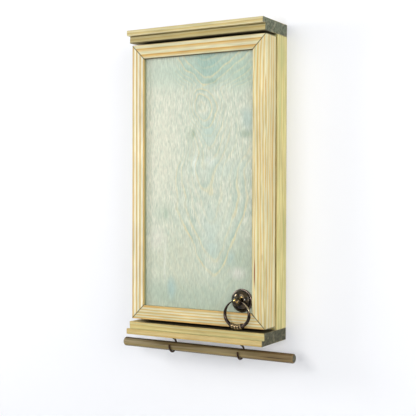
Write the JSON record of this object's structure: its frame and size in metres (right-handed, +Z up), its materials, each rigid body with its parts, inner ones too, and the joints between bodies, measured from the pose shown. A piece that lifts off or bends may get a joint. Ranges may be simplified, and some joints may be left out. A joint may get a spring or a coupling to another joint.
{
  "type": "jewelry cabinet",
  "caption": "Small wall-hung wooden jewelry cabinet: shallow case behind a deep framed door with a ring pull, and a round hanging bar in open hooks under its lower board.",
  "frame": {"origin": "on the wall plane, midway between the two wall screws", "axes": "+X to the right as seen from the front, +Y into the wall, +Z up"},
  "size_m": [0.257, 0.0706, 0.4286],
  "materials": {
    "stained_pine": "softwood, thin amber stain under a satin clear coat",
    "inner_pine": "softwood, the same stain, plain inner face",
    "washed_plywood": "birch plywood, pale grey-green wash, matt",
    "birch_plywood": "birch plywood, satin",
    "beech": "turned hardwood rod, satin",
    "bar_wood": "turned softwood, darker brown stain, satin",
    "antique_bronze": "cast, dark antique bronze patina, rubbed bright on high spots",
    "bronzed_steel": "bent wire, dark bronze finish",
    "brass": "aged brass, satin",
    "steel": "zinc-plated steel",
    "magnet": "nickel-plated magnet"
  },
  "bodies": {
    "case": {"top_board": "stained_pine", "bottom_board": "stained_pine", "side_left": "stained_pine", "side_right": "stained_pine", "back_panel": "birch_plywood", "joint_dowels": "beech", "back_panel_pins": "steel", "hanging_rail": "inner_pine", "necklace_hooks": "brass", "earring_rod_upper": "beech", "earring_rod_middle": "beech", "earring_rod_lower": "beech", "ring_shelf": "inner_pine", "shelf_lip": "inner_pine", "catch_cup": "steel", "catch_magnet": "magnet", "hinge_upper_case_leaf": "brass", "hinge_lower_case_leaf": "brass", "hinge_upper_pin": "brass", "hinge_lower_pin": "brass", "hinge_case_screws": "brass", "bar_hook_left": "bronzed_steel", "bar_hook_right": "bronzed_steel"},
    "door": {"door_stile_left": "stained_pine", "door_stile_right": "stained_pine", "door_rail_top": "stained_pine", "door_rail_bottom": "stained_pine", "door_panel": "washed_plywood", "panel_bead_left": "inner_pine", "panel_bead_right": "inner_pine", "panel_bead_top": "inner_pine", "panel_bead_bottom": "inner_pine", "hinge_upper_door_leaf": "brass", "hinge_lower_door_leaf": "brass", "hinge_door_screws": "brass", "strike_plate": "steel", "strike_screw": "steel", "pull_rosette": "antique_bronze", "pull_post": "antique_bronze", "pull_washer": "steel", "pull_nut": "steel"},
    "ring": {"pull_ring": "antique_bronze"},
    "bar": {"hanging_bar": "bar_wood"}
  },
  "joints": [
    {"name": "door_hinge", "type": "hinge", "parent": "case", "child": "door", "pos_m": [-0.1033, -0.029, -0.1629], "axis": [0, 0, -1], "range_deg": [0, 165]},
    {"name": "ring_swing", "type": "hinge", "parent": "door", "child": "ring", "pos_m": [0.0647, -0.065, -0.3116], "axis": [-1, 0, 0], "range_deg": [-5, 190]},
    {"name": "bar_slide", "type": "slide", "parent": "case", "child": "bar", "axis": [1, 0, 0], "range_m": [-0.185, 0.185]}
  ]
}
